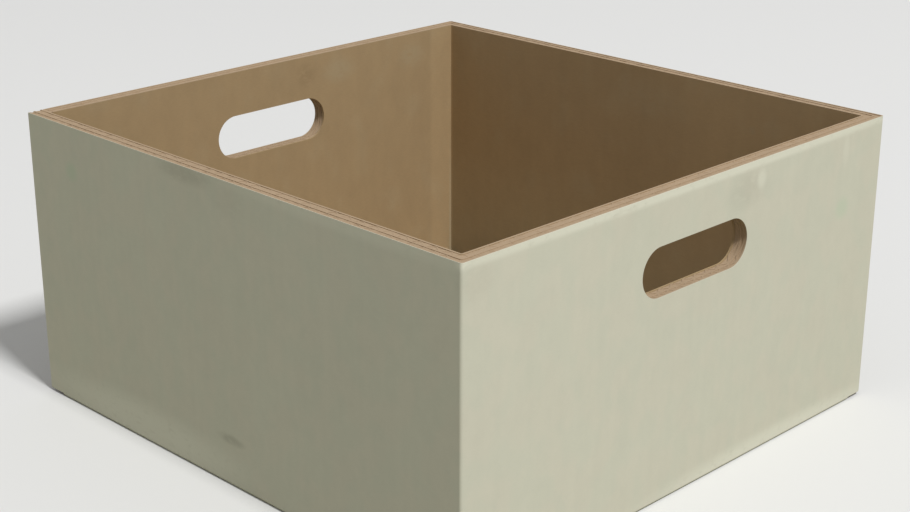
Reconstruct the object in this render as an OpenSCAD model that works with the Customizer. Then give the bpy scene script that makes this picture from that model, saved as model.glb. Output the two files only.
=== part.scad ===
// Open-topped storage box base: one blank of double-wall corrugated board, white outside and
// kraft inside, folded into a square tube. A glued tab closes one corner, four glued flaps
// close the bottom, and each end wall has a hand hole.
// X runs along the plain side walls, Y along the end walls, and Z up from the floor.

/* [Box] */
// Outside length, along the plain side walls
box_length = 305; // [220:0.5:420]
// Outside width, along the end walls
box_width = 298.5; // [220:0.5:420]
// Height from the floor to the rim
box_height = 151.5; // [110:0.5:300]

/* [Board] */
// Thickness of each of the three liners: outside, middle and inside
liner_t = 1; // [0.4:0.1:1.2]
// Thickness of the two fluted papers between the liners
medium_t = 0.6; // [0.3:0.1:0.8]
// Height of the fine flutes, behind the outside liner
fine_height = 2.1; // [1.5:0.1:3]
// Pitch of the fine flutes
fine_pitch = 6.35; // [5:0.05:8]
// Height of the coarse flutes, behind the inside liner
coarse_height = 2.9; // [2.5:0.1:5]
// Pitch of the coarse flutes
coarse_pitch = 8.6; // [7:0.05:10]
// Depth to which the flutes stand open along the cut rim
flute_depth = 3; // [1:0.5:6]

/* [Folds] */
// Outside radius of the folds
fold_r = 1.4; // [1:0.1:3]
// Radius of the bead that a crease raises in an inside corner
bead_r = 1.2; // [0.4:0.1:2]

/* [Hand holes] */
// Length of a hand hole, end to end
hole_length = 76; // [60:1:110]
// Height of a hand hole, which is the diameter of its round ends
hole_height = 24; // [18:0.5:36]
// Distance from the rim down to the middle of a hand hole
hole_drop = 36.5; // [25:0.5:50]

/* [Bottom flaps] */
// Seam between the two outer flaps, along the middle of the bottom
outer_seam = 2; // [0.5:0.5:6]
// Gap between the two inner flaps, along the middle of the floor
inner_seam = 8; // [1:0.5:40]
// Run of the mitred corners, over which an inner flap climbs from its fold onto the outer flaps
climb_run = 20; // [12:1:30]
// Clearance between the cut sides of a flap and the walls beside them
flap_clear = 3.2; // [2:0.1:6]

/* [Glue joint] */
// Width of the glue tab
tab_width = 35; // [25:1:45]
// Thickness of the pressed glue tab
tab_t = 5; // [3:0.1:6]
// Distance of the tab's root from the rim above and from the floor below
tab_inset = 10; // [6:0.5:20]
// Height that each end of the tab loses from root to tip
tab_slant = 8; // [0:0.5:15]

/* [Hidden] */
$fn = 48;
board_t = 3 * liner_t + fine_height + coarse_height;
half_length = box_length / 2;
half_width = box_width / 2;
inner_half_length = half_length - board_t;
inner_half_width = half_width - board_t;
floor_top = 2 * board_t;
outer_flap_root = inner_half_length - flap_clear;
inner_flap_root = inner_half_width - flap_clear;
outer_flap_reach = half_width - outer_seam / 2;
inner_flap_reach = half_length - inner_seam / 2;
hole_z = box_height - hole_drop;
cut_over = 1;

// Places a shape at all four corners of a rectangle
module at_corners(x, y) {
    for (side_x = [-1, 1], side_y = [-1, 1])
        translate([side_x * x, side_y * y]) children();
}

// Plan of the tube's outside: round folds, and the square cut end of a wall at the glue joint
module tube_outline() {
    square([box_length - 2 * fold_r, box_width], center = true);
    square([box_length, box_width - 2 * fold_r], center = true);
    at_corners(half_length - fold_r, half_width - fold_r) circle(fold_r);
    translate([-half_length, -half_width]) square(fold_r);
}

// Plan of the space inside the tube, with a crease bead in each corner
module tube_inside() {
    difference() {
        square(2 * [inner_half_length, inner_half_width], center = true);
        at_corners(inner_half_length, inner_half_width) circle(bead_r);
    }
}

// Groove at the glue joint, between the round fold of the tab and the cut end of the side wall
module joint_groove() {
    translate([-half_length, -inner_half_width])
        difference() {
            square(fold_r);
            translate([fold_r, fold_r]) circle(fold_r);
        }
}

// Plan of the four walls
module tube_section() {
    difference() {
        tube_outline();
        tube_inside();
        joint_groove();
    }
}

// The four walls, from the top of the bottom folds to the rim
module walls() {
    translate([0, 0, fold_r]) linear_extrude(box_height - fold_r) tube_section();
}

// Section of a wall's foot with its round outside fold, measured inwards from the outside face
module fold_section() {
    translate([fold_r, 0]) square([board_t - fold_r, floor_top]);
    translate([0, fold_r]) square([board_t, floor_top - fold_r]);
    translate([fold_r, fold_r]) circle(fold_r);
}

// Section of an outer flap, which lies on the floor
module outer_flap_section() {
    fold_section();
    translate([fold_r, 0]) square([outer_flap_reach - fold_r, board_t]);
}

// Section of an inner flap, which climbs from its fold and lies on the outer flaps
module inner_flap_section() {
    climb_end = board_t + climb_run;
    fold_section();
    polygon([
        [board_t - fold_r, 0],
        [board_t, 0],
        [climb_end, board_t],
        [inner_flap_reach, board_t],
        [inner_flap_reach, floor_top],
        [climb_end, floor_top],
        [board_t, board_t],
        [board_t - fold_r, board_t]
    ]);
}

// Plan of a flap, measured inwards from the outside face: both corners beside its fold are mitred
module flap_plan(half_root, reach) {
    half_tip = half_root - climb_run;
    polygon([
        [-half_root, 0],
        [half_root, 0],
        [half_root, board_t],
        [half_tip, board_t + climb_run],
        [half_tip, reach],
        [-half_tip, reach],
        [-half_tip, board_t + climb_run],
        [-half_root, board_t]
    ]);
}

// A flap and the foot of its wall along X: what its section, given as a child, and its plan share
module flap(half_root, reach) {
    intersection() {
        rotate([90, 0, 90]) linear_extrude(2 * half_root, center = true) children();
        linear_extrude(floor_top) flap_plan(half_root, reach);
    }
}

// The outer flap of one side wall
module outer_flap() {
    translate([0, -half_width, 0]) flap(outer_flap_root, outer_flap_reach) outer_flap_section();
}

// The inner flap of one end wall
module inner_flap() {
    translate([-half_length, 0, 0])
        rotate(-90) flap(inner_flap_root, inner_flap_reach) inner_flap_section();
}

// The glue tab, folded from one end wall and pressed against the inside of a side wall
module glue_tab() {
    root_low = floor_top + tab_inset;
    root_high = box_height - tab_inset;
    translate([-inner_half_length, -inner_half_width, 0])
        rotate([90, 0, 0])
            mirror([0, 0, 1])
                linear_extrude(tab_t)
                    polygon([
                        [0, root_low],
                        [tab_width, root_low + tab_slant],
                        [tab_width, root_high - tab_slant],
                        [0, root_high]
                    ]);
}

// Cutter for the hand holes in both end walls: a slot with round ends
module hand_holes() {
    end_y = (hole_length - hole_height) / 2;
    translate([0, 0, hole_z])
        rotate([90, 0, 90])
            linear_extrude(box_length + 2 * cut_over, center = true) {
                square([2 * end_y, hole_height], center = true);
                translate([-end_y, 0]) circle(d = hole_height);
                translate([end_y, 0]) circle(d = hole_height);
            }
}

// Plan of one open flute end: a triangle that stands on one liner and points at the next
module flute_end(pitch, height) {
    half_foot = pitch / 2 - medium_t;
    polygon([[-half_foot, 0], [half_foot, 0], [0, height - medium_t]]);
}

// Plan of a row of flute ends along a wall, which stand on its two liners in turn
module flute_row(run, pitch, height) {
    waves = floor(run / pitch - 1 / 2);
    row_start = -(waves - 1 / 2) * pitch / 2;
    for (wave = [0 : waves - 1])
        translate([row_start + wave * pitch, 0]) {
            flute_end(pitch, height);
            translate([pitch / 2, height]) mirror([0, 1]) flute_end(pitch, height);
        }
}

// Plan of both rows of flute ends of a wall, measured inwards from its outside face
module wall_flutes(run) {
    translate([0, liner_t]) flute_row(run, fine_pitch, fine_height);
    translate([0, 2 * liner_t + fine_height]) flute_row(run, coarse_pitch, coarse_height);
}

// Cutter for the open flutes along the rim, which stop at the pressed corner folds
module rim_flutes() {
    translate([0, 0, box_height - flute_depth])
        linear_extrude(flute_depth + cut_over)
            for (turn = [0, 1]) {
                mirror([0, turn])
                    translate([0, -half_width]) wall_flutes(2 * inner_half_length);
                mirror([turn, 0])
                    translate([-half_length, 0]) rotate(-90) wall_flutes(2 * inner_half_width);
            }
}

module box_base() {
    color("ivory")
        difference() {
            union() {
                walls();
                glue_tab();
                for (turn = [0, 1]) {
                    mirror([0, turn, 0]) outer_flap();
                    mirror([turn, 0, 0]) inner_flap();
                }
            }
            hand_holes();
            rim_flutes();
        }
}

box_base();
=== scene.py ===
import math

import bmesh
import bpy
from bpy.props import FloatProperty, FloatVectorProperty, IntProperty, PointerProperty
from mathutils import Matrix, Vector


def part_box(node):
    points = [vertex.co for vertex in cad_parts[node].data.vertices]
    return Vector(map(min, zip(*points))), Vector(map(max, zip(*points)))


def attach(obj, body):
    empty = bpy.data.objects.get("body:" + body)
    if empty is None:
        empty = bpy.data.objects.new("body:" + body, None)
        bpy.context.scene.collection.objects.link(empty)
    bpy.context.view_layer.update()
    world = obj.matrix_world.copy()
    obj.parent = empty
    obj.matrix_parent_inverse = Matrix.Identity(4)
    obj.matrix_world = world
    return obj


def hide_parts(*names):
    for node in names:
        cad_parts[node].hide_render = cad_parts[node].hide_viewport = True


bl_info = {
    "name": "Corrugated storage box base",
    "version": (1, 0, 0),
    "blender": (4, 5, 0),
    "location": "3D View > Sidebar > Storage box",
    "description": "Builds an open-topped box from the papers and flutes of its corrugated board",
    "category": "Add Mesh",
}

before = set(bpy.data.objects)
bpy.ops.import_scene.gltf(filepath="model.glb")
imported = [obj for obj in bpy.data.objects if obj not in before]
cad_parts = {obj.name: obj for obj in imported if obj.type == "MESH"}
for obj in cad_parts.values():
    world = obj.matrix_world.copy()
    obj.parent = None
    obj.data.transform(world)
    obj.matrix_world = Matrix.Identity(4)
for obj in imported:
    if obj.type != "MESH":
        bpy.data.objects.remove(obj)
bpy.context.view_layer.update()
BOX_LOW, BOX_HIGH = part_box("box_base")
MM = 0.001
# Lengths that differ by less than this count as the same
SAME = 0.01 * MM
# A direction follows an axis if more than this share of it lies along the axis
FACING = 0.5
# An edge is upright if its rise is more than this share of its length
STRAIGHT = 0.999
# Faces that meet at less than this angle are shaded as one
SMOOTH_ANGLE = math.radians(35)
# How strongly the papers and the floor shine, where 0.5 is usual
SHINE = 0.25
# Straight steps in the round folds, the round corners, the ends of a hand hole and the tab's edges
FOLD_STEPS = 4
CORNER_STEPS = 5
HOLE_STEPS = 12
TAB_STEPS = 3


def length(name, description, default):
    """A size in metres that a user would change."""
    return FloatProperty(name=name, description=description, default=default, precision=5, unit="LENGTH")


def turn(name, description, degrees):
    """An angle that a user would change, given in degrees."""
    return FloatProperty(name=name, description=description, default=math.radians(degrees), unit="ROTATION")


def colour(name, description, default):
    """A linear colour that a user would change."""
    return FloatVectorProperty(
        name=name, description=description, default=default, subtype="COLOR", size=3, min=0, max=1
    )


class BoxSizes(bpy.types.PropertyGroup):
    """Sizes of the folded box"""

    length: length("Length", "Outside length, along the plain side walls", BOX_HIGH.x - BOX_LOW.x)
    width: length("Width", "Outside width, along the end walls", BOX_HIGH.y - BOX_LOW.y)
    height: length("Height", "Height from the floor to the rim", BOX_HIGH.z - BOX_LOW.z)
    fold: length("Fold radius", "Outside radius of the folds", 1.4 * MM)
    crease: length("Crease radius", "Least radius inside a fold", 0.4 * MM)
    outer_seam: length("Outer seam", "Seam between the two outer flaps", 2 * MM)
    inner_seam: length("Inner seam", "Gap between the two inner flaps", 8 * MM)
    climb: length("Climb", "Run of the mitres, over which an inner flap climbs onto the others", 20 * MM)
    flap_clear: length("Flap clearance", "Clearance between the sides of a flap and the walls", 3.2 * MM)
    flap_rest: length("Flap rest", "Air between the inner and the outer flaps", 0.1 * MM)
    hole_length: length("Hole length", "Length of a hand hole, end to end", 76 * MM)
    hole_height: length("Hole height", "Height of a hand hole", 24 * MM)
    hole_drop: length("Hole drop", "Distance from the rim to the middle of a hand hole", 36.5 * MM)
    tab_width: length("Tab width", "Width of the glue tab", 35 * MM)
    tab_thickness: length("Tab thickness", "Thickness of the pressed glue tab", 5 * MM)
    tab_inset: length("Tab inset", "Distance of the tab's root from the rim and the floor", 10 * MM)
    tab_slant: length("Tab slant", "Height that each end of the tab loses to its tip", 8 * MM)


class BoardSizes(bpy.types.PropertyGroup):
    """Sizes of the papers in the double-wall board"""

    thickness: length("Thickness", "Thickness of the whole board", 8 * MM)
    liner: length("Liner", "Thickness of each of the three liners", 1 * MM)
    medium: length("Medium", "Thickness of the two fluted papers", 0.6 * MM)
    fine_pitch: length("Fine pitch", "Pitch of the flutes behind the outside liner", 6.35 * MM)
    fine_height: length("Fine height", "Height of the flutes behind the outside liner", 2.1 * MM)
    coarse_pitch: length("Coarse pitch", "Pitch of the flutes behind the inside liner", 8.6 * MM)
    sink: length("Sink", "How far the cut flutes stay below the cut liners", 0.2 * MM)
    crush: length("Crush", "Depth at which the cut has pressed the flutes shut", 0.3 * MM)
    uneven: length("Uneven", "How much the depth of the pressed flutes varies", 0.12 * MM)
    score: FloatProperty(
        name="Score", description="Share of its depth that a score presses out of a fold", default=0.65
    )
    wave_steps: IntProperty(name="Wave steps", description="Straight steps in one wave", default=10, min=4)


class Finish(bpy.types.PropertyGroup):
    """Colours of the papers"""

    white: colour("White liner", "Outside liner", (0.662, 0.653, 0.538))
    warm_white: colour("Warm white", "Warmer clouds in the outside liner", (0.673, 0.650, 0.536))
    scuff: colour("Scuff", "Dark scuff marks on the white liner", (0.279, 0.262, 0.200))
    # Also the colour of the painted highlights along the rims and the painted floor light along the feet
    rub_and_painted_light: colour("Rub", "Pale rubbed spots on the white liner", (0.780, 0.767, 0.645))
    stain: colour("Stain", "Faint green stains on the white liner", (0.557, 0.646, 0.489))
    kraft: colour("Kraft liner", "Inside liner", (0.370, 0.265, 0.144))
    kraft_scuff: colour("Kraft scuff", "Dark scuff marks on the kraft liner", (0.281, 0.199, 0.106))
    # Also the colour towards which the back wall is painted greyer below, as painted light
    kraft_rub_and_painted_light: colour("Kraft rub", "Pale rubbed spots on the kraft liner", (0.393, 0.315, 0.194))
    cut: colour("Cut paper", "Flutes and cut edges", (0.410, 0.300, 0.194))


class StageSizes(bpy.types.PropertyGroup):
    """Camera, floor and lights"""

    azimuth: turn("Azimuth", "Camera's turn from the front towards the right", 44.92)
    elevation: turn("Elevation", "Camera's height above the horizon", 20.21)
    roll: turn("Roll", "Camera's turn about its own axis", 0.06)
    distance: length("Distance", "Camera to the point that it aims at", 911.4 * MM)
    aim_up: length(
        "Aim up", "How far the aim lies above the floor's centre, along the picture's height", 71.4 * MM
    )
    lens: FloatProperty(name="Lens", description="Focal length in millimetres", default=68.19)
    floor_size: length("Floor size", "Length and width of the floor", 8.0)
    floor_drop: length("Floor drop", "Air between the floor and the box", 0.3 * MM)
    floor: colour("Floor", "Plain pale floor, as the camera sees it", (0.77, 0.77, 0.76))
    bounce: colour("Bounce", "Colour with which the floor throws light back", (0.28, 0.28, 0.20))
    backdrop: colour("Backdrop", "What the camera sees beyond the floor", (0.90, 0.90, 0.90))
    sky: FloatProperty(name="Sky", description="Strength of the even light from all round", default=0.365)
    lamp_distance: length("Lamp distance", "Distance of the key lamp from the box", 12.0)
    lamp_width: length("Lamp width", "Width and height of the key lamp", 2.0)
    key: FloatProperty(
        name="Key", description="Power of the soft lamp on the right, in watts", default=1150.0
    )
    key_azimuth: turn("Key azimuth", "Turn of the key lamp from the front towards the right", 85)
    key_elevation: turn("Key elevation", "Height of the key lamp above the horizon", 55)


SETTINGS = {
    "box_sizes": BoxSizes,
    "board_sizes": BoardSizes,
    "box_finish": Finish,
    "box_stage": StageSizes,
}


# Shader wiring

class Wire:
    """An output in a node tree, or no output yet, with arithmetic that adds Math nodes."""

    def __init__(self, tree, socket):
        self.tree = tree
        self.socket = socket

    def node(self, kind, settings, sockets, output=0):
        """Adds a node of a type, sets its settings and then its sockets, and wraps one of its outputs."""
        made = self.tree.nodes.new(kind)
        for key, value in settings.items():
            setattr(made, key, value)
        for key, value in sockets.items():
            if isinstance(value, Wire):
                self.tree.links.new(value.socket, made.inputs[key])
            else:
                made.inputs[key].default_value = value
        return Wire(self.tree, made.outputs[output])

    def feed(self, node, name):
        """Links the wire to a socket of a node that is already there."""
        self.tree.links.new(self.socket, node.inputs[name])

    def math(self, operation, *values):
        """Adds a Math node on values or wires."""
        return self.node("ShaderNodeMath", {"operation": operation}, dict(enumerate(values)))

    def __add__(self, other):
        return self.math("ADD", self, other)

    def __radd__(self, other):
        return self.math("ADD", other, self)

    def __sub__(self, other):
        return self.math("SUBTRACT", self, other)

    def __rsub__(self, other):
        return self.math("SUBTRACT", other, self)

    def __mul__(self, other):
        return self.math("MULTIPLY", self, other)

    def __rmul__(self, other):
        return self.math("MULTIPLY", other, self)


def new_material(name, roughness):
    """A paper material: returns it, its object coordinates as a wire, and its shader node."""
    material = bpy.data.materials.new(name)
    material.use_nodes = True
    tree = material.node_tree
    shader = tree.nodes["Principled BSDF"]
    shader.inputs["Roughness"].default_value = roughness
    shader.inputs["Specular IOR Level"].default_value = SHINE
    place = Wire(tree, None).node("ShaderNodeTexCoord", {}, {}, output="Object")
    return material, place, shader


def scaled(place, factors):
    """Coordinates multiplied axis by axis."""
    return place.node("ShaderNodeVectorMath", {"operation": "MULTIPLY"}, {0: place, 1: factors})


def noise(place, factors, detail=2.0, rough=0.5):
    """Soft noise from 0 to 1, with its number of cells per metre given for each axis."""
    return place.node(
        "ShaderNodeTexNoise",
        {"noise_dimensions": "3D"},
        {"Vector": scaled(place, factors), "Scale": 1.0, "Detail": detail, "Roughness": rough},
    )


def smooth(value, low, high):
    """A smooth step of a value: 0 at one limit and 1 at the other, in either order."""
    return value.node(
        "ShaderNodeMapRange",
        {"interpolation_type": "SMOOTHSTEP"},
        {"Value": value, "From Min": low, "From Max": high},
    )


def shade(tint):
    """A colour as a socket takes it: a wire stays as it is, and three numbers get an alpha."""
    return tint if isinstance(tint, Wire) else (*tint, 1)


def mixed(factor, first, second):
    """A blend of two colours."""
    return factor.node(
        "ShaderNodeMix",
        {"data_type": "RGBA"},
        {0: factor, 6: shade(first), 7: shade(second)},
        output=2,
    )


def axis(place, letter):
    """One coordinate as a value."""
    return place.node("ShaderNodeSeparateXYZ", {}, {0: place}, output="XYZ".index(letter))


def spot(place, centre, radii):
    """A soft blot on a surface: 1 in its core and 0 past its radii."""
    core = 0.25
    away = place.node("ShaderNodeVectorMath", {"operation": "SUBTRACT"}, {0: place, 1: centre})
    reach = scaled(away, [1 / radius for radius in radii])
    far = reach.node("ShaderNodeVectorMath", {"operation": "LENGTH"}, {0: reach}, output=1)
    return smooth(far, 1.0, core)


def ripple(place, pitch):
    """The washboard that flutes press into a liner: 0 to 1 along both wall directions."""
    rate = 2 * math.pi / pitch
    waves = [place.math("SINE", axis(place, letter) * rate) for letter in "XY"]
    return (waves[0] + waves[1]) * 0.25 + 0.5


def edge_depth(place, radius):
    """Depth below the outside of the box, up to the radius of its folds, at any point of the board."""
    box = bpy.context.scene.box_sizes
    core = (box.length / 2 - radius, box.width / 2 - radius, -radius)
    even = place.node("ShaderNodeVectorMath", {"operation": "ABSOLUTE"}, {0: scaled(place, (1, 1, 0))})
    down = scaled(place, (0, 0, -1))
    folded = even.node("ShaderNodeVectorMath", {"operation": "ADD"}, {0: even, 1: down})
    past = folded.node("ShaderNodeVectorMath", {"operation": "SUBTRACT"}, {0: folded, 1: core})
    outside = past.node("ShaderNodeVectorMath", {"operation": "MAXIMUM"}, {0: past, 1: (0, 0, 0)})
    far = outside.node("ShaderNodeVectorMath", {"operation": "LENGTH"}, {0: outside}, output=1)
    return radius - far


def lit(tint, wash):
    """A colour made lighter or darker by a value around 1."""
    grey = wash.node("ShaderNodeCombineColor", {}, {0: wash, 1: wash, 2: wash})
    return wash.node(
        "ShaderNodeMix",
        {"data_type": "RGBA", "blend_type": "MULTIPLY"},
        {0: 1.0, 6: shade(tint), 7: grey},
        output=2,
    )


def bumped(shader, height, distance):
    """Feeds a height in metres times a distance to the shader's normal."""
    bump = height.node("ShaderNodeBump", {}, {"Height": height, "Distance": distance, "Strength": 1.0})
    bump.feed(shader, "Normal")


def coloured(shader, tint, rough):
    """Feeds a colour and a roughness to the shader."""
    tint.feed(shader, "Base Color")
    rough.feed(shader, "Roughness")


# Paper finishes

def white_marks(place):
    """Where the white liner is scuffed dark, made pale and stained, as three masks. The pale mask holds
    rubbed spots, painted highlights along the rims and painted floor light along the feet.
    """
    box = bpy.context.scene.box_sizes
    front_y, right_x, rim = -box.width / 2, box.length / 2, box.height
    deep = 6 * MM
    low_scuff = spot(place, (2 * MM, front_y, 24 * MM), (13 * MM, deep, 3.5 * MM))
    rim_smudge = spot(place, (-24 * MM, front_y, rim - 3 * MM), (26 * MM, deep, 7 * MM))
    rim_shade = spot(place, (8 * MM, front_y, rim - 10 * MM), (18 * MM, deep, 9 * MM))
    hole_patch = spot(place, (right_x, 36 * MM, rim - 13 * MM), (deep, 22 * MM, 12 * MM))
    fold_smudge = spot(place, (right_x, -142 * MM, rim - 9 * MM), (deep, 16 * MM, 12 * MM))
    # Painted floor light: a paler band along the foot of the front wall
    foot_lightening = spot(place, (-68 * MM, front_y, 8 * MM), (110 * MM, deep, 17 * MM))
    # Painted highlight along the rim of the front wall
    front_rim_painted_highlight = spot(place, (90 * MM, front_y, rim - 1 * MM), (110 * MM, deep, 6 * MM))
    # Painted floor light: a paler band along the foot of the right wall
    far_foot_painted_light = spot(place, (right_x, 70 * MM, 2 * MM), (deep, 130 * MM, 9 * MM))
    # Painted highlight along the rim of the right wall
    right_rim_painted_highlight = spot(place, (right_x, 0, rim - 1 * MM), (deep, 300 * MM, 4 * MM))
    hole_rub = spot(place, (right_x, 47 * MM, rim - 10 * MM), (deep, 5 * MM, 7 * MM))
    far_rub = spot(place, (right_x, 117 * MM, rim - 11 * MM), (deep, 4 * MM, 11 * MM))
    left_stain = spot(place, (-117 * MM, front_y, rim - 23 * MM), (7 * MM, deep, 7 * MM))
    right_stain = spot(place, (right_x, 117 * MM, rim - 41 * MM), (deep, 8 * MM, 8 * MM))
    dark = (
        low_scuff * 0.32 + rim_smudge * 0.24 + rim_shade * 0.07
        + hole_patch * 0.13 + fold_smudge * 0.09
    )
    # Rubbed spots, with painted highlights along the rims and painted floor light along the feet
    pale = (
        foot_lightening * 0.9 + far_foot_painted_light * 0.9 + front_rim_painted_highlight * 0.5 + right_rim_painted_highlight * 1.1
        + hole_rub * 0.7 + far_rub * 0.35
    )
    return dark, pale, left_stain + right_stain


def white_paper():
    """The outside liner: faintly streaked white-top paper with a few scuffs and rubbed spots, painted
    highlights along the rims and painted floor light along the feet.
    """
    finish = bpy.context.scene.box_finish
    box = bpy.context.scene.box_sizes
    board = bpy.context.scene.board_sizes
    material, place, shader = new_material("white_liner_paper", 0.75)
    cloud = noise(place, (18, 18, 14), detail=3)
    mottle = noise(place, (120, 120, 90), detail=3, rough=0.6)
    streak = noise(place, (110, 110, 7), detail=3)
    fibre = noise(place, (420, 420, 1500))
    washboard = ripple(place, board.fine_pitch) * streak
    wash = cloud * 0.05 + mottle * 0.08 + streak * 0.025 + fibre * 0.04 + washboard * 0.015 + 0.8975
    warm = smooth(noise(place, (60, 60, 45)), 0.4, 0.6)
    tint = lit(mixed(warm, finish.white, finish.warm_white), wash)
    dark, pale, stain = white_marks(place)
    ragged = noise(place, (200, 200, 350), detail=3)
    tint = mixed(dark * smooth(ragged, 0.1, 0.6), tint, finish.scuff)
    # Pale rubs, painted rim highlights and painted floor light
    tint = mixed(pale * smooth(ragged, 0.1, 0.5), tint, finish.rub_and_painted_light)
    tint = mixed(stain * 0.5, tint, finish.stain)
    raw = smooth(edge_depth(place, box.fold), 0.05 * MM, 0.25 * MM)
    tint = mixed(raw, tint, finish.cut)
    coloured(shader, tint, mottle * 0.16 + 0.68)
    bumped(shader, washboard * 0.45 + mottle * 0.25 + fibre * 0.2, 0.05 * MM)
    return material


def kraft_marks(place):
    """Where the kraft liner is smudged, rubbed pale, lighter in broad bands and greyer, as four masks. The
    lighter band at the right of the back wall and the greyer foot of the back wall are painted light.
    """
    box = bpy.context.scene.box_sizes
    board = bpy.context.scene.board_sizes
    left_x, back_y, rim = board.thickness - box.length / 2, box.width / 2 - board.thickness, box.height
    deep = 6 * MM
    hole_smudge = spot(place, (left_x, 25 * MM, rim - 11 * MM), (deep, 10 * MM, 10 * MM))
    hole_rub = spot(place, (left_x, 50 * MM, rim - 12 * MM), (deep, 17 * MM, 10 * MM))
    corner_rub = spot(place, (left_x, 108 * MM, rim - 13 * MM), (deep, 15 * MM, 11 * MM))
    low_fleck = spot(place, (left_x, 90 * MM, 48 * MM), (deep, 5 * MM, 5 * MM))
    back_rub = spot(place, (10 * MM, back_y, rim - 17 * MM), (36 * MM, deep, 15 * MM))
    middle_rub = spot(place, (-37 * MM, back_y, 74 * MM), (15 * MM, deep, 12 * MM))
    foot_lightening = spot(place, (-131 * MM, back_y, 22 * MM), (13 * MM, deep, 20 * MM))
    back_fleck = spot(place, (80 * MM, back_y, rim - 21 * MM), (3 * MM, deep, 3 * MM))
    along, across, up = [axis(place, letter) for letter in "XYZ"]
    on_left = smooth(along, left_x + 2 * MM, left_x + 1 * MM)
    on_back = smooth(across, back_y - 2 * MM, back_y - 1 * MM)
    fold_band = smooth(across, 122 * MM, 126 * MM) * on_left
    # Painted light: the lamps leave the back wall redder below and darker at the right, so its paper is
    # painted greyer below and lighter towards the right to even that out
    painted_grey_low = smooth(up, 100 * MM, 10 * MM) * on_back
    painted_light_right = smooth(along, 0, 70 * MM) * on_back
    pale = (
        hole_rub * 0.5 + corner_rub * 0.4 + low_fleck * 0.3
        + back_rub * 0.3 + middle_rub * 0.3 + foot_lightening * 0.35 + back_fleck * 0.5
    )
    return hole_smudge * 0.5, pale, fold_band * 0.1 + painted_light_right * 0.18, painted_grey_low


def kraft_paper():
    """The inside liner: brown kraft with pale and dark fibres, faint flute lines, a few rubs and painted
    light on the back wall.
    """
    finish = bpy.context.scene.box_finish
    box = bpy.context.scene.box_sizes
    board = bpy.context.scene.board_sizes
    material, place, shader = new_material("kraft_liner_paper", 0.85)
    cloud = noise(place, (16, 16, 12), detail=3)
    mottle = noise(place, (110, 110, 70), detail=3, rough=0.6)
    streak = noise(place, (90, 90, 8), detail=3)
    fibre = noise(place, (380, 380, 1700), detail=3)
    washboard = ripple(place, board.coarse_pitch) * streak
    dark, pale, light, painted_grey_low = kraft_marks(place)
    # The broad lighter bands include painted light towards the right of the back wall
    wash = cloud * 0.08 + mottle * 0.16 + streak * 0.05 + fibre * 0.14 + washboard * 0.03 + light + 0.775
    # Painted light: the back wall is painted greyer below
    grey = smooth(noise(place, (70, 70, 50)), 0.5, 0.75) * 0.2 + painted_grey_low
    tint = lit(mixed(grey, finish.kraft, finish.kraft_rub_and_painted_light), wash)
    ragged = noise(place, (300, 300, 500), detail=3, rough=0.6)
    tint = mixed(dark * smooth(ragged, 0.25, 0.55), tint, finish.kraft_scuff)
    tint = mixed(pale * smooth(ragged, 0.25, 0.55), tint, finish.kraft_rub_and_painted_light)
    raw = smooth(axis(place, "Z"), box.height - 0.2 * MM, box.height - 0.1 * MM)
    tint = mixed(raw, tint, finish.cut)
    coloured(shader, tint, mottle * 0.14 + 0.78)
    bumped(shader, washboard * 0.6 + mottle * 0.25 + fibre * 0.25, 0.07 * MM)
    return material


def cut_paper():
    """Flutes and the cut edges of the board: paler, fuzzy kraft."""
    finish = bpy.context.scene.box_finish
    material, place, shader = new_material("cut_board_paper", 0.9)
    patch = noise(place, (60, 60, 60))
    fuzz = noise(place, (1600, 1600, 1600), detail=3, rough=0.65)
    tint = lit(finish.cut, patch * 0.16 + fuzz * 0.30 + 0.77)
    coloured(shader, tint, fuzz * 0.1 + 0.85)
    bumped(shader, fuzz, 0.12 * MM)
    return material


# Modelling helpers

def begin():
    """Leaves nothing selected, so that an operator acts only on what follows."""
    bpy.ops.object.select_all(action="DESELECT")


def take(piece):
    """Selects one piece alone and makes it the active one."""
    begin()
    piece.select_set(True)
    bpy.context.view_layer.objects.active = piece


def add_block(name, low, high):
    """A box between two corners, with its place in its mesh."""
    begin()
    low, high = Vector(low), Vector(high)
    bpy.ops.mesh.primitive_cube_add(size=1, location=(low + high) / 2)
    block = bpy.context.active_object
    block.name = block.data.name = name
    block.scale = high - low
    bpy.ops.object.transform_apply(location=True, rotation=True, scale=True)
    return block


def pick(piece, kind, test):
    """Selects only the vertices, edges or faces of a piece in edit mode that pass a test."""
    bpy.ops.mesh.select_mode(type=kind)
    bpy.ops.mesh.select_all(action="DESELECT")
    mesh = bmesh.from_edit_mesh(piece.data)
    parts = {"VERT": mesh.verts, "EDGE": mesh.edges, "FACE": mesh.faces}[kind]
    for part in parts:
        if test(part):
            part.select_set(True)
    bmesh.update_edit_mesh(piece.data)


def middle(edge):
    """The middle of an edge."""
    return (edge.verts[0].co + edge.verts[1].co) / 2


def near(first, second):
    """Whether two sizes are the same."""
    return abs(first - second) < SAME


def keeps(edge, letter):
    """Whether both ends of an edge have the same x, y or z."""
    first, second = edge.verts
    return near(getattr(first.co, letter), getattr(second.co, letter))


def upright(edge):
    """Whether an edge runs straight up."""
    run = edge.verts[0].co - edge.verts[1].co
    return abs(run.z) > STRAIGHT * run.length


def extrude(offset):
    """Extrudes the selected edges by an offset, and leaves the new edges selected."""
    bpy.ops.mesh.extrude_edges_move(TRANSFORM_OT_translate={"value": offset})


def finish_modifier(piece, kind, **settings):
    """Adds a modifier to a piece and applies it."""
    bpy.context.view_layer.objects.active = piece
    modifier = piece.modifiers.new(kind.lower(), kind)
    for key, value in settings.items():
        setattr(modifier, key, value)
    bpy.ops.object.modifier_apply(modifier=modifier.name)


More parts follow.
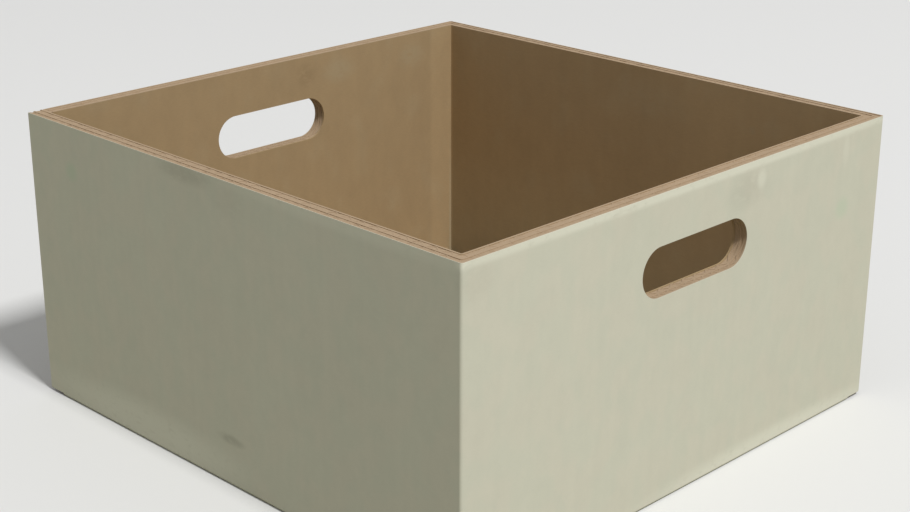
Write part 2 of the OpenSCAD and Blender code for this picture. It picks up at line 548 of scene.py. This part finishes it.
def join(name, pieces):
    """Joins several meshes into one piece."""
    begin()
    for piece in pieces:
        piece.select_set(True)
    bpy.context.view_layer.objects.active = pieces[0]
    bpy.ops.object.join()
    pieces[0].name = pieces[0].data.name = name
    return pieces[0]


def dress(piece, material):
    """Gives a piece its paper, and hands it to the frame in place of the solid board."""
    take(piece)
    bpy.ops.object.shade_smooth_by_angle(angle=SMOOTH_ANGLE)
    finish_modifier(piece, "WEIGHTED_NORMAL", keep_sharp=True)
    piece.data.materials.clear()
    piece.data.materials.append(material)
    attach(piece, "root")
    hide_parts("box_base")


# The four walls and their flaps

class Wall:
    """One wall, seen in its own frame: it runs along X there and faces -Y.

    half is the distance from the middle of the box to the outside of the wall, and half_run is half
    its length. The flutes reach from left_stop to right_stop, and the right fold to right_face."""

    def __init__(self, angle, half, half_run, outer):
        box = bpy.context.scene.box_sizes
        board = bpy.context.scene.board_sizes
        self.turn = Matrix.Rotation(math.radians(angle), 4, "Z")
        self.half = half
        self.half_run = half_run
        self.outer = outer
        self.flap_half = half_run - board.thickness - box.flap_clear
        self.tip_half = self.flap_half - box.climb
        self.press = board.score if outer else 0
        self.flap_reach = half - (box.outer_seam if outer else box.inner_seam) / 2
        self.left_stop = board.thickness - half_run
        self.right_stop = half_run - board.thickness
        self.right_face = half_run

    def out(self, x, y, z):
        """A point or direction of the wall's frame, in the box's frame."""
        return self.turn @ Vector((x, y, z))

    def seen(self, point):
        """A point of the box's frame, in the wall's frame."""
        return self.turn.inverted() @ point

    def over_flap(self, point, depth):
        """Whether a point of the liner at a depth lies on this wall, within the width of its flap."""
        place = self.seen(point)
        return near(place.y, depth - self.half) and abs(place.x) < self.flap_half


def all_walls():
    """The front, right, back and left wall. Outer flaps hang on the front and the back one.

    Flutes stop at the pressed corner folds, but the front wall ends in a cut at the glue joint,
    and the left wall folds into the glue tab behind it."""
    box = bpy.context.scene.box_sizes
    board = bpy.context.scene.board_sizes
    half_length, half_width = box.length / 2, box.width / 2
    front = Wall(0, half_width, half_length, True)
    right = Wall(90, half_length, half_width, False)
    back = Wall(180, half_width, half_length, True)
    left = Wall(270, half_length, half_width, False)
    front.left_stop = board.sink - half_length
    left.right_face = half_width - board.thickness
    left.right_stop = left.right_face - box.fold
    return [front, right, back, left]


def hole_cutter(grow):
    """A bar with round edges that cuts both hand holes at once, larger all round by a margin."""
    box = bpy.context.scene.box_sizes
    over = 10 * MM
    # A sliver of each end stays flat, so that its two round edges don't meet
    flat = 0.02 * MM
    reach = Vector((box.length / 2 + over, box.hole_length / 2 + grow, box.hole_height / 2 + grow))
    centre = Vector((0, 0, box.height - box.hole_drop))
    cutter = add_block("hand_hole_cutter", centre - reach, centre + reach)
    bpy.ops.object.mode_set(mode="EDIT")
    pick(cutter, "EDGE", lambda edge: keeps(edge, "y") and keeps(edge, "z"))
    bpy.ops.mesh.bevel(offset=reach.z - flat, segments=HOLE_STEPS, affect="EDGES")
    bpy.ops.object.mode_set(mode="OBJECT")
    return cutter


def cut_hand_holes(piece, grow=0):
    """Cuts the hand holes out of a piece, larger all round by a margin."""
    cutter = hole_cutter(grow)
    finish_modifier(piece, "BOOLEAN", object=cutter, operation="DIFFERENCE", solver="EXACT")
    bpy.data.objects.remove(cutter)


# Liners

def open_glue_joint(liner, depth, radius):
    """Parts the left front corner: the front wall ends in a cut, and the left wall folds in behind it."""
    box = bpy.context.scene.box_sizes
    board = bpy.context.scene.board_sizes
    x, y = -box.length / 2 + depth, -box.width / 2 + depth
    behind = -box.width / 2 + board.thickness

    def corner(edge):
        place = middle(edge)
        return upright(edge) and near(place.x, x) and near(place.y, y)

    pick(liner, "EDGE", corner)
    bpy.ops.mesh.edge_split(type="EDGE")
    pick(liner, "EDGE", lambda edge: corner(edge) and abs(edge.link_faces[0].normal.y) > FACING)
    bpy.ops.transform.translate(value=(-depth, 0, 0))
    pick(liner, "EDGE", lambda edge: corner(edge) and abs(edge.link_faces[0].normal.x) > FACING)
    bpy.ops.transform.translate(value=(0, behind + radius - y, 0))
    # Only the outside liner goes on round the fold and behind the front wall
    if depth == 0:
        centre = (x + radius, behind + radius, 0)
        bpy.ops.mesh.spin(steps=FOLD_STEPS, angle=-math.pi / 2, center=centre, axis=(0, 0, 1))
        extrude((board.thickness - radius, 0, 0))


def fold_flap(liner, wall, depth, radius):
    """Folds one flap inwards from the foot of its wall. A score presses the folds of outer flaps lower."""
    box = bpy.context.scene.box_sizes
    board = bpy.context.scene.board_sizes
    foot = depth + radius
    pressed = wall.press * depth
    pick(liner, "EDGE", lambda edge: near(middle(edge).z, foot) and wall.over_flap(middle(edge), depth))
    if pressed > 0:
        extrude((0, 0, -pressed))
    centre = wall.out(0, foot - wall.half, foot - pressed)
    bpy.ops.mesh.spin(steps=FOLD_STEPS, angle=-math.pi / 2, center=centre, axis=wall.out(1, 0, 0))
    if foot < board.thickness:
        extrude(wall.out(0, board.thickness - foot, 0))
    start = max(foot, board.thickness)
    extrude(wall.out(0, box.climb, pressed if wall.outer else board.thickness + box.flap_rest))
    narrow = wall.tip_half / wall.flap_half
    shrink = [narrow if abs(part) > FACING else 1 for part in wall.out(1, 0, 0)]
    bpy.ops.transform.resize(value=shrink, center_override=(0, 0, 0))
    extrude(wall.out(0, wall.flap_reach - start - box.climb, 0))


def check_outwards(liner):
    """Stops if the right wall of a liner doesn't face outwards."""
    right = max(liner.data.polygons, key=lambda face: face.center.x)
    if right.normal.x < FACING:
        raise RuntimeError(f"{liner.name} is inside out")


def add_liner(name, depth):
    """One liner of the whole blank, folded up: its outside face lies at a depth in the board."""
    box = bpy.context.scene.box_sizes
    board = bpy.context.scene.board_sizes
    walls = all_walls()
    radius = max(box.fold - depth, board.liner + box.crease)
    foot = depth + radius
    half_length, half_width = box.length / 2 - depth, box.width / 2 - depth
    liner = add_block(name, (-half_length, -half_width, foot), (half_length, half_width, box.height))
    bpy.ops.object.mode_set(mode="EDIT")
    pick(liner, "EDGE", lambda edge: upright(edge) and (middle(edge).x > 0 or middle(edge).y > 0))
    bpy.ops.mesh.bevel(offset=radius, segments=CORNER_STEPS, affect="EDGES")
    pick(liner, "FACE", lambda face: abs(face.normal.z) > FACING)
    bpy.ops.mesh.delete(type="FACE")
    # Cuts at the ends of the flaps, which each pair of facing walls shares
    for wall in walls[:2]:
        for side in (-1, 1):
            bpy.ops.mesh.select_all(action="SELECT")
            flap_end = wall.out(side * wall.flap_half, 0, 0)
            bpy.ops.mesh.bisect(plane_co=flap_end, plane_no=wall.out(1, 0, 0))
    open_glue_joint(liner, depth, radius)

    def at_slot(edge):
        over_flap = any(wall.over_flap(middle(edge), depth) for wall in walls)
        return near(middle(edge).z, foot) and keeps(edge, "z") and not over_flap

    # Beside the flaps, all liners end level with the outside one
    if depth > 0:
        pick(liner, "EDGE", at_slot)
        extrude((0, 0, box.fold - foot))
    for wall in walls:
        fold_flap(liner, wall, depth, radius)
    bpy.ops.mesh.select_all(action="SELECT")
    bpy.ops.mesh.normals_make_consistent(inside=False)
    bpy.ops.object.mode_set(mode="OBJECT")
    check_outwards(liner)
    finish_modifier(liner, "SOLIDIFY", thickness=board.liner, offset=-1, use_even_offset=True)
    cut_hand_holes(liner)
    return liner


# Flutes

def add_flute_sheet(width, run, pitch, height):
    """A fluted paper: its waves follow each other along X, its flutes run along Y from 0."""
    board = bpy.context.scene.board_sizes
    waves = max(1, round(width / pitch))
    step = width / waves
    swing = (height - board.medium) / 2
    begin()
    bpy.ops.mesh.primitive_plane_add(size=1, location=((step - width) / 2, run / 2, 0))
    sheet = bpy.context.active_object
    sheet.scale = (step, run, 1)
    bpy.ops.object.transform_apply(location=True, rotation=True, scale=True)
    start = -width / 2
    bpy.ops.object.mode_set(mode="EDIT")
    pick(sheet, "EDGE", lambda edge: keeps(edge, "y"))
    bpy.ops.mesh.subdivide(number_cuts=board.wave_steps - 1)
    for column in range(board.wave_steps + 1):
        x = start + column * step / board.wave_steps
        pick(sheet, "VERT", lambda vert: near(vert.co.x, x))
        lift = swing * math.cos(2 * math.pi * column / board.wave_steps)
        bpy.ops.transform.translate(value=(0, 0, lift))
    bpy.ops.object.mode_set(mode="OBJECT")
    finish_modifier(
        sheet, "ARRAY", count=waves, use_relative_offset=False, use_constant_offset=True,
        constant_offset_displace=(step, 0, 0), use_merge_vertices=True, merge_threshold=step / 100,
    )
    finish_modifier(sheet, "SOLIDIFY", thickness=board.medium, offset=0, use_even_offset=True)
    return sheet


def put(piece, matrix):
    """Moves a piece to its place and leaves its object at the origin."""
    take(piece)
    piece.matrix_world = matrix
    bpy.ops.object.transform_apply(location=True, rotation=True, scale=True)


def add_wall_flutes(wall, centre, height, pitch):
    """The upright fluted paper of one wall, at a depth in the board."""
    box = bpy.context.scene.box_sizes
    board = bpy.context.scene.board_sizes
    rise = box.height - board.sink - board.thickness
    sheet = add_flute_sheet(wall.right_stop - wall.left_stop, rise, pitch, height)
    middle_x = (wall.right_stop + wall.left_stop) / 2
    place = Matrix.Translation((middle_x, centre - wall.half, board.thickness))
    put(sheet, wall.turn @ place @ Matrix.Rotation(math.pi / 2, 4, "X"))
    if not wall.outer:
        cut_hand_holes(sheet)
    return sheet


def add_flap_flutes(wall, centre, height, pitch):
    """The flat fluted paper of one flap, at a depth in the board."""
    box = bpy.context.scene.box_sizes
    board = bpy.context.scene.board_sizes
    start = board.thickness + box.climb
    lift = 0 if wall.outer else board.thickness + box.flap_rest
    sheet = add_flute_sheet(2 * wall.tip_half, wall.flap_reach - start - board.sink, pitch, height)
    put(sheet, wall.turn @ Matrix.Translation((0, start - wall.half, centre + lift)))
    return sheet


def add_flutes(name, depth, height, pitch):
    """One fluted paper of the whole blank: upright in the walls and flat in the flaps."""
    centre = depth + height / 2
    sheets = []
    for wall in all_walls():
        sheets.append(add_wall_flutes(wall, centre, height, pitch))
        sheets.append(add_flap_flutes(wall, centre, height, pitch))
    return join(name, sheets)


# Pressed folds, crushed edges and the glue tab

def add_pressed_folds(name):
    """The board's core where the four corner folds press its flutes flat."""
    box = bpy.context.scene.box_sizes
    board = bpy.context.scene.board_sizes
    press = 2 * board.sink
    folds = []
    for wall in all_walls():
        outside = wall.right_face - board.liner
        low = (wall.right_stop, board.liner - wall.half, box.fold)
        high = (outside, board.thickness - wall.half, box.height - press)
        fold = add_block(name, low, high)
        bpy.ops.object.mode_set(mode="EDIT")
        pick(fold, "EDGE", lambda edge: upright(edge)
             and near(middle(edge).x, outside) and near(middle(edge).y, low[1]))
        bpy.ops.mesh.bevel(offset=box.fold - board.liner, segments=CORNER_STEPS, affect="EDGES")
        bpy.ops.object.mode_set(mode="OBJECT")
        put(fold, wall.turn)
        folds.append(fold)
    return join(name, folds)


def add_crushed_strip(wall, seed):
    """The flute ends along the rim of a wall, which the cut has pressed shut below the liners."""
    box = bpy.context.scene.box_sizes
    board = bpy.context.scene.board_sizes
    low = (wall.left_stop, board.liner - wall.half, box.height - board.thickness)
    high = (wall.right_stop, board.thickness - board.liner - wall.half, box.height - board.crush)
    strip = add_block("crushed_strip", low, high)
    bpy.ops.object.mode_set(mode="EDIT")
    long_cuts = round((high[0] - low[0]) / board.fine_height)
    cross_cuts = 3
    pick(strip, "EDGE", lambda edge: keeps(edge, "y") and not upright(edge))
    bpy.ops.mesh.subdivide(number_cuts=long_cuts)
    pick(strip, "EDGE", lambda edge: keeps(edge, "x") and not upright(edge))
    bpy.ops.mesh.subdivide(number_cuts=cross_cuts)
    pick(strip, "VERT", lambda vert: near(vert.co.z, high[2]))
    bpy.ops.transform.vertex_random(offset=board.uneven, normal=1, seed=seed)
    bpy.ops.object.mode_set(mode="OBJECT")
    put(strip, wall.turn)
    return strip


def add_crushed_ring(wall):
    """The flutes round a hand hole, which the cut has pressed shut behind the liners."""
    box = bpy.context.scene.box_sizes
    board = bpy.context.scene.board_sizes
    half_run = box.hole_length / 2 + board.thickness
    half_rise = box.hole_height / 2 + board.thickness
    middle_z = box.height - box.hole_drop
    low = (-half_run, board.liner - wall.half, middle_z - half_rise)
    high = (half_run, board.thickness - board.liner - wall.half, middle_z + half_rise)
    ring = add_block("crushed_ring", low, high)
    put(ring, wall.turn)
    cut_hand_holes(ring, board.crush)
    return ring


def add_crushed_edges(name):
    """All the board's core that the cut has pressed shut: along the rim and round the hand holes."""
    walls = all_walls()
    strips = [add_crushed_strip(wall, seed) for seed, wall in enumerate(walls)]
    rings = [add_crushed_ring(wall) for wall in walls if not wall.outer]
    return join(name, strips + rings)


def add_glue_tab(name):
    """The pressed tab that closes the tube, glued inside the front wall at the left corner."""
    box = bpy.context.scene.box_sizes
    board = bpy.context.scene.board_sizes
    root_x = board.thickness - box.length / 2
    face_y = board.thickness - box.width / 2
    low_z = 2 * board.thickness + box.tab_inset
    high_z = box.height - box.tab_inset
    tip_x = root_x + box.tab_width
    tab = add_block(name, (root_x, face_y, low_z), (tip_x, face_y + box.tab_thickness, high_z))
    bpy.ops.object.mode_set(mode="EDIT")
    pick(tab, "FACE", lambda face: face.normal.x > FACING)
    tip_share = 1 - 2 * box.tab_slant / (high_z - low_z)
    tip_middle = (tip_x, face_y, (low_z + high_z) / 2)
    bpy.ops.transform.resize(value=(1, 1, tip_share), center_override=tip_middle)
    pick(tab, "EDGE", lambda edge: near(middle(edge).y, face_y + box.tab_thickness)
         and middle(edge).x > root_x + box.crease)
    bpy.ops.mesh.bevel(offset=board.liner, segments=TAB_STEPS, affect="EDGES")
    bpy.ops.object.mode_set(mode="OBJECT")
    return tab


# Stage

def add_floor():
    """The plain pale floor. It looks paler to the camera than the light it throws back."""
    stage = bpy.context.scene.box_stage
    begin()
    bpy.ops.mesh.primitive_plane_add(size=stage.floor_size, location=(0, 0, -stage.floor_drop))
    floor = bpy.context.active_object
    floor.name = floor.data.name = "floor"
    bpy.ops.object.transform_apply(location=True, rotation=True, scale=True)
    material, place, shader = new_material("pale_floor", 0.9)
    seen = place.node("ShaderNodeLightPath", {}, {}, output="Is Camera Ray")
    tint = mixed(seen, stage.bounce, stage.floor)
    tint.feed(shader, "Base Color")
    floor.data.materials.append(material)


def set_world():
    """Even light from all round, behind which the camera and reflections see a pale backdrop."""
    stage = bpy.context.scene.box_stage
    world = bpy.data.worlds.new("studio")
    bpy.context.scene.world = world
    world.use_nodes = True
    tree = world.node_tree
    camera, glossy, through = [
        Wire(tree, None).node("ShaderNodeLightPath", {}, {}, output=name)
        for name in ("Is Camera Ray", "Is Glossy Ray", "Is Transmission Ray")
    ]
    seen = camera.math("MINIMUM", camera + glossy + through, 1.0)
    light = seen.node("ShaderNodeBackground", {}, {"Color": shade((1, 1, 1)), "Strength": stage.sky})
    backdrop = seen.node("ShaderNodeBackground", {}, {"Color": shade(stage.backdrop), "Strength": 1.0})
    both = seen.node("ShaderNodeMixShader", {}, {0: seen, 1: light, 2: backdrop})
    both.feed(tree.nodes["World Output"], "Surface")


def direction(azimuth, elevation):
    """From the box towards the camera or the lamp. Azimuth 0 is the front, and 90 degrees the right."""
    flat = math.cos(elevation)
    return Vector((math.sin(azimuth) * flat, -math.cos(azimuth) * flat, math.sin(elevation)))


def add_key_lamp():
    """The soft square lamp on the right, which looks at the box."""
    stage = bpy.context.scene.box_stage
    back = direction(stage.key_azimuth, stage.key_elevation)
    bpy.ops.object.light_add(type="AREA", location=back * stage.lamp_distance)
    lamp = bpy.context.active_object
    lamp.name = "key_lamp"
    lamp.data.shape = "SQUARE"
    lamp.data.size = stage.lamp_width
    lamp.data.energy = stage.key
    lamp.rotation_euler = back.to_track_quat("Z", "Y").to_euler()
    lamp.visible_camera = False


def add_camera():
    """The camera at the viewing angle of the photograph."""
    stage = bpy.context.scene.box_stage
    back = direction(stage.azimuth, stage.elevation)
    right = Vector((math.cos(stage.azimuth), math.sin(stage.azimuth), 0))
    up = back.cross(right)
    turned = Matrix((right, up, back)).transposed() @ Matrix.Rotation(stage.roll, 3, "Z")
    bpy.ops.object.camera_add(location=up * stage.aim_up + back * stage.distance)
    camera = bpy.context.active_object
    camera.rotation_euler = turned.to_euler()
    camera.data.lens = stage.lens
    bpy.context.scene.camera = camera


# Operators

class AddOutsideLiner(bpy.types.Operator):
    """Add the white liner on the outside of the whole blank"""

    bl_idname = "storage_box.outside_liner"
    bl_label = "Outside liner"

    def execute(self, context):
        dress(add_liner("outside_liner", 0), white_paper())
        return {"FINISHED"}


class AddMiddleLiner(bpy.types.Operator):
    """Add the liner between the two rows of flutes"""

    bl_idname = "storage_box.middle_liner"
    bl_label = "Middle liner"

    def execute(self, context):
        board = context.scene.board_sizes
        dress(add_liner("middle_liner", board.liner + board.fine_height), cut_paper())
        return {"FINISHED"}


class AddInsideLiner(bpy.types.Operator):
    """Add the kraft liner on the inside of the whole blank"""

    bl_idname = "storage_box.inside_liner"
    bl_label = "Inside liner"

    def execute(self, context):
        board = context.scene.board_sizes
        dress(add_liner("inside_liner", board.thickness - board.liner), kraft_paper())
        return {"FINISHED"}


class AddFineFlutes(bpy.types.Operator):
    """Add the fine fluted paper behind the outside liner"""

    bl_idname = "storage_box.fine_flutes"
    bl_label = "Fine flutes"

    def execute(self, context):
        board = context.scene.board_sizes
        flutes = add_flutes("fine_flutes", board.liner, board.fine_height, board.fine_pitch)
        dress(flutes, cut_paper())
        return {"FINISHED"}


class AddCoarseFlutes(bpy.types.Operator):
    """Add the coarse fluted paper behind the inside liner"""

    bl_idname = "storage_box.coarse_flutes"
    bl_label = "Coarse flutes"

    def execute(self, context):
        board = context.scene.board_sizes
        depth = 2 * board.liner + board.fine_height
        height = board.thickness - board.liner - depth
        dress(add_flutes("coarse_flutes", depth, height, board.coarse_pitch), cut_paper())
        return {"FINISHED"}


class AddPressedFolds(bpy.types.Operator):
    """Add the pressed core of the four corner folds"""

    bl_idname = "storage_box.pressed_folds"
    bl_label = "Pressed folds"

    def execute(self, context):
        dress(add_pressed_folds("pressed_folds"), cut_paper())
        return {"FINISHED"}


class AddCrushedEdges(bpy.types.Operator):
    """Add the flute ends that the cut has pressed shut along the rim and round the hand holes"""

    bl_idname = "storage_box.crushed_edges"
    bl_label = "Crushed edges"

    def execute(self, context):
        dress(add_crushed_edges("crushed_edges"), cut_paper())
        return {"FINISHED"}


class AddGlueTab(bpy.types.Operator):
    """Add the glue tab inside the left corner"""

    bl_idname = "storage_box.glue_tab"
    bl_label = "Glue tab"

    def execute(self, context):
        dress(add_glue_tab("glue_tab"), kraft_paper())
        return {"FINISHED"}


class SetStage(bpy.types.Operator):
    """Add the floor, the light and the camera"""

    bl_idname = "storage_box.stage"
    bl_label = "Stage"

    def execute(self, context):
        context.scene.view_settings.view_transform = "Standard"
        add_floor()
        set_world()
        add_key_lamp()
        add_camera()
        return {"FINISHED"}


OPERATORS = [
    AddOutsideLiner,
    AddMiddleLiner,
    AddInsideLiner,
    AddFineFlutes,
    AddCoarseFlutes,
    AddPressedFolds,
    AddCrushedEdges,
    AddGlueTab,
    SetStage,
]


class StorageBoxPanel(bpy.types.Panel):
    """Sizes, colours and steps of the box"""

    bl_idname = "VIEW3D_PT_storage_box"
    bl_label = "Storage box"
    bl_space_type = "VIEW_3D"
    bl_region_type = "UI"
    bl_category = "Storage box"

    def draw(self, context):
        for settings in SETTINGS:
            group = getattr(context.scene, settings)
            column = self.layout.column(align=True)
            for name in group.__annotations__:
                column.prop(group, name)
        for operator in OPERATORS:
            self.layout.operator(operator.bl_idname)


CLASSES = [*SETTINGS.values(), *OPERATORS, StorageBoxPanel]


def register():
    """Registers the classes, and gives each scene its settings."""
    for made in CLASSES:
        bpy.utils.register_class(made)
    for name, group in SETTINGS.items():
        setattr(bpy.types.Scene, name, PointerProperty(type=group))


def unregister():
    """Takes the settings and the classes away again."""
    for name in SETTINGS:
        delattr(bpy.types.Scene, name)
    for made in reversed(CLASSES):
        bpy.utils.unregister_class(made)


def main():
    """Builds the box and its stage."""
    register()
    for operator in OPERATORS:
        group, name = operator.bl_idname.split(".")
        getattr(getattr(bpy.ops, group), name)()


if __name__ == "__main__":
    main()
